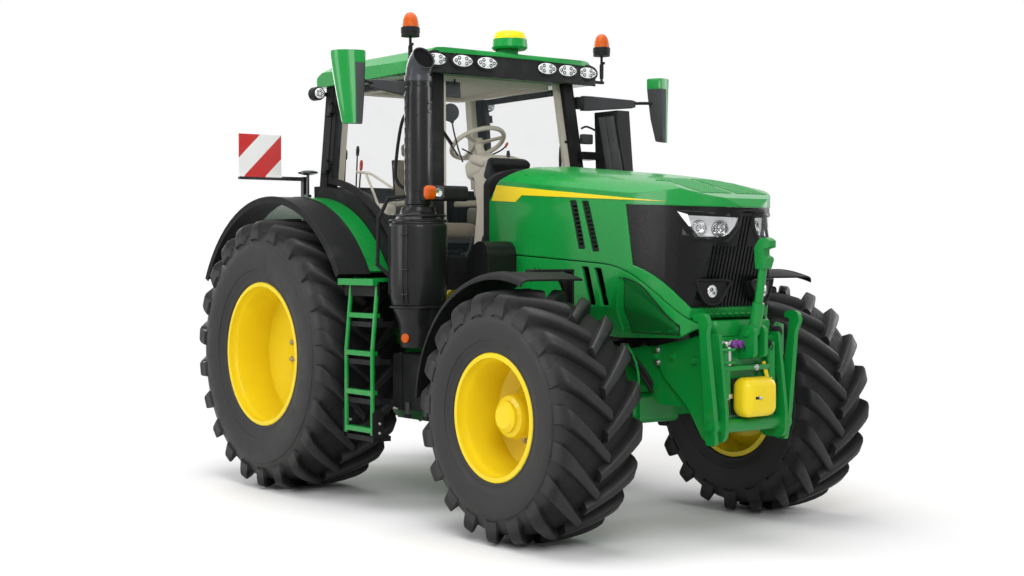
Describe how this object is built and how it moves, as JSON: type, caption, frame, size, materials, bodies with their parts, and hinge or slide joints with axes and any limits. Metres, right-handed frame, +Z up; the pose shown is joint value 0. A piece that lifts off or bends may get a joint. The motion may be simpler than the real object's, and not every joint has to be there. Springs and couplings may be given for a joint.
{
  "type": "farm tractor",
  "caption": "Row-crop farm tractor with a glazed cab, long sloping bonnet, front and rear linkages, and steered driven front wheels that are smaller than the rear ones.",
  "frame": {"origin": "on the ground, under the middle of the machine's overall length and width", "axes": "+X forward, +Y to the driver's left, +Z up"},
  "size_m": [5.16, 3.06, 3.445],
  "materials": {
    "green_paint": "glossy leaf-green enamel",
    "yellow_paint": "semi-gloss yellow enamel",
    "black_plastic": "moulded satin black",
    "tyre_rubber": "matt black rubber",
    "window_glass": "clear safety glass",
    "beige_trim": "moulded beige",
    "clear_lens": "clear moulded lens",
    "amber_lens": "amber moulded lens",
    "marker_foil": "reflective red and white sheet"
  },
  "bodies": {
    "chassis": {"transmission": "green_paint", "rear_axle_housing": "green_paint", "engine_block": "green_paint", "main_frame": "green_paint", "front_axle_beam": "green_paint", "tanks": "black_plastic", "side_panels": "green_paint", "hitch_frame": "green_paint", "pto_guard": "yellow_paint", "exhaust": "black_plastic", "intake_duct": "black_plastic", "access_steps": "green_paint", "cab_base": "black_plastic", "cab_pillars": "black_plastic", "cab_roof": "green_paint", "roof_visor": "black_plastic", "lamps": "clear_lens", "windscreen": "window_glass", "rear_window": "window_glass", "dashboard": "beige_trim", "steering_wheel": "beige_trim", "seat": "beige_trim", "rear_fenders": "green_paint", "fender_extensions": "black_plastic", "mirrors": "black_plastic", "beacons": "amber_lens", "roof_receiver": "yellow_paint", "marker_board": "marker_foil", "rear_hitch": "green_paint", "lamp_brackets": "black_plastic", "step_treads": "black_plastic", "mirror_covers": "green_paint", "cab_lining": "beige_trim"},
    "bonnet": {"bonnet": "green_paint", "grille": "black_plastic", "headlamps": "clear_lens", "bonnet_vents": "black_plastic", "side_stripes": "yellow_paint"},
    "door_left": {"door_left": "black_plastic", "door_left_glass": "window_glass"},
    "door_right": {"door_right": "black_plastic", "door_right_glass": "window_glass"},
    "wheel_rear_left": {"tyre_rear_left": "tyre_rubber", "rim_rear_left": "yellow_paint"},
    "wheel_rear_right": {"tyre_rear_right": "tyre_rubber", "rim_rear_right": "yellow_paint"},
    "knuckle_left": {"knuckle_left": "green_paint", "front_fender_left": "black_plastic"},
    "knuckle_right": {"knuckle_right": "green_paint", "front_fender_right": "black_plastic"},
    "wheel_front_left": {"tyre_front_left": "tyre_rubber", "rim_front_left": "yellow_paint"},
    "wheel_front_right": {"tyre_front_right": "tyre_rubber", "rim_front_right": "yellow_paint"},
    "front_arms": {"front_arms": "green_paint"},
    "rear_links": {"rear_lower_links": "green_paint"},
    "lift_arms": {"rear_lift_arms": "green_paint"},
    "lift_rods": {"rear_lift_rods": "green_paint"}
  },
  "joints": [
    {"name": "rear_left_wheel_spin", "type": "hinge", "parent": "chassis", "child": "wheel_rear_left", "pos_m": [-1.4, 0.965, 1.02], "axis": [0, 1, 0], "continuous": true},
    {"name": "rear_right_wheel_spin", "type": "hinge", "parent": "chassis", "child": "wheel_rear_right", "pos_m": [-1.4, -0.965, 1.02], "axis": [0, 1, 0], "continuous": true},
    {"name": "left_steering", "type": "hinge", "parent": "chassis", "child": "knuckle_left", "pos_m": [1.5, 0.74, 0.78], "axis": [0, 0, 1], "range_deg": [-35, 35]},
    {"name": "right_steering", "type": "hinge", "parent": "chassis", "child": "knuckle_right", "pos_m": [1.5, -0.74, 0.78], "axis": [0, 0, 1], "range_deg": [-35, 35]},
    {"name": "front_left_wheel_spin", "type": "hinge", "parent": "knuckle_left", "child": "wheel_front_left", "pos_m": [1.5, 1.02, 0.78], "axis": [0, 1, 0], "continuous": true},
    {"name": "front_right_wheel_spin", "type": "hinge", "parent": "knuckle_right", "child": "wheel_front_right", "pos_m": [1.5, -1.02, 0.78], "axis": [0, 1, 0], "continuous": true},
    {"name": "left_door_hinge", "type": "hinge", "parent": "chassis", "child": "door_left", "pos_m": [-1.26543, 0.77002, 2.65581], "axis": [-0.0052, -0.0845, 0.9964], "range_deg": [0, 70]},
    {"name": "right_door_hinge", "type": "hinge", "parent": "chassis", "child": "door_right", "pos_m": [-1.26543, -0.77002, 2.65581], "axis": [0.0052, -0.0845, -0.9964], "range_deg": [0, 70]},
    {"name": "bonnet_hinge", "type": "hinge", "parent": "chassis", "child": "bonnet", "pos_m": [0.385, 0, 2.27], "axis": [0, -1, 0], "range_deg": [0, 45]},
    {"name": "front_linkage", "type": "hinge", "parent": "chassis", "child": "front_arms", "pos_m": [2.39, 0, 0.735], "axis": [0, 1, 0], "range_deg": [0, 90]},
    {"name": "rear_linkage", "type": "hinge", "parent": "chassis", "child": "rear_links", "pos_m": [-1.59, 0, 0.69], "axis": [0, 1, 0], "range_deg": [-20, 30]},
    {"name": "lift_arm_turn", "type": "hinge", "parent": "chassis", "child": "lift_arms", "pos_m": [-1.59, 0, 1.33], "axis": [0, 1, 0], "range_deg": [-20, 30]},
    {"name": "lift_rod_turn", "type": "hinge", "parent": "lift_arms", "child": "lift_rods", "pos_m": [-2.15, 0, 1.33], "axis": [0, 1, 0], "range_deg": [-30, 20]}
  ],
  "couplings": [
    {"joint": "right_steering", "follows": "left_steering", "ratio": 1},
    {"joint": "lift_arm_turn", "follows": "rear_linkage", "ratio": 1},
    {"joint": "lift_rod_turn", "follows": "rear_linkage", "ratio": -1}
  ]
}
